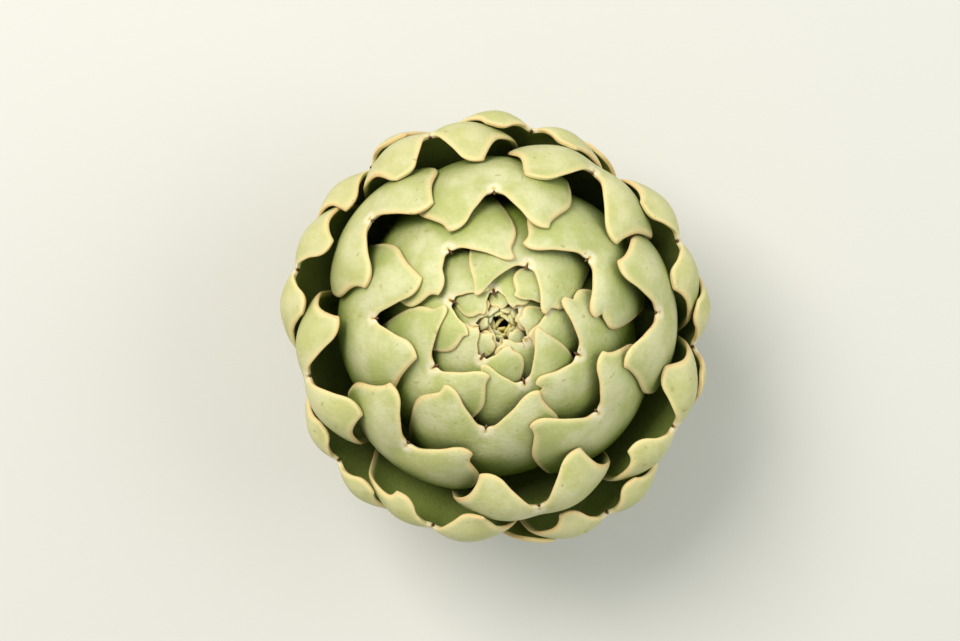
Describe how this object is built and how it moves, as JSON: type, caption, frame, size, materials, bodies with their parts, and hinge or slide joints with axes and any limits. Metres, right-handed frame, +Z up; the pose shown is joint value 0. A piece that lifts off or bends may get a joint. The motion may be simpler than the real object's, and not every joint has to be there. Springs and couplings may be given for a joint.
{
  "type": "globe artichoke head",
  "caption": "Round artichoke head of overlapping notched bracts spiralling up a receptacle, with a small open crown, standing on a short cut stem.",
  "frame": {"origin": "on the surface that the cut stem stands on, under the middle of the head", "axes": "+Z up along the head's axis, from the cut stem to the crown"},
  "size_m": [0.1057, 0.1082, 0.0916],
  "materials": {
    "bract_skin": "matte waxy plant skin",
    "receptacle_flesh": "matte fibrous plant flesh"
  },
  "bodies": {
    "root": {"receptacle": "receptacle_flesh", "bract_01": "bract_skin", "bract_02": "bract_skin", "bract_03": "bract_skin", "bract_04": "bract_skin", "bract_05": "bract_skin", "bract_06": "bract_skin", "bract_07": "bract_skin", "bract_08": "bract_skin", "bract_09": "bract_skin", "bract_10": "bract_skin", "bract_11": "bract_skin", "bract_12": "bract_skin", "bract_13": "bract_skin", "bract_14": "bract_skin", "bract_15": "bract_skin", "bract_16": "bract_skin", "bract_17": "bract_skin", "bract_18": "bract_skin", "bract_19": "bract_skin", "bract_20": "bract_skin", "bract_21": "bract_skin", "bract_22": "bract_skin", "bract_23": "bract_skin", "bract_24": "bract_skin", "bract_25": "bract_skin", "bract_26": "bract_skin", "bract_27": "bract_skin", "bract_28": "bract_skin", "bract_29": "bract_skin", "bract_30": "bract_skin", "bract_31": "bract_skin", "bract_32": "bract_skin", "bract_33": "bract_skin", "bract_34": "bract_skin", "bract_35": "bract_skin", "bract_36": "bract_skin", "bract_37": "bract_skin", "bract_38": "bract_skin", "bract_39": "bract_skin", "bract_40": "bract_skin", "bract_41": "bract_skin", "bract_42": "bract_skin", "bract_43": "bract_skin", "bract_44": "bract_skin", "bract_45": "bract_skin", "bract_46": "bract_skin", "bract_47": "bract_skin", "bract_48": "bract_skin", "bract_49": "bract_skin", "bract_50": "bract_skin", "bract_51": "bract_skin", "bract_52": "bract_skin", "bract_53": "bract_skin", "bract_54": "bract_skin", "bract_55": "bract_skin", "bract_56": "bract_skin", "bract_57": "bract_skin"}
  },
  "joints": []
}
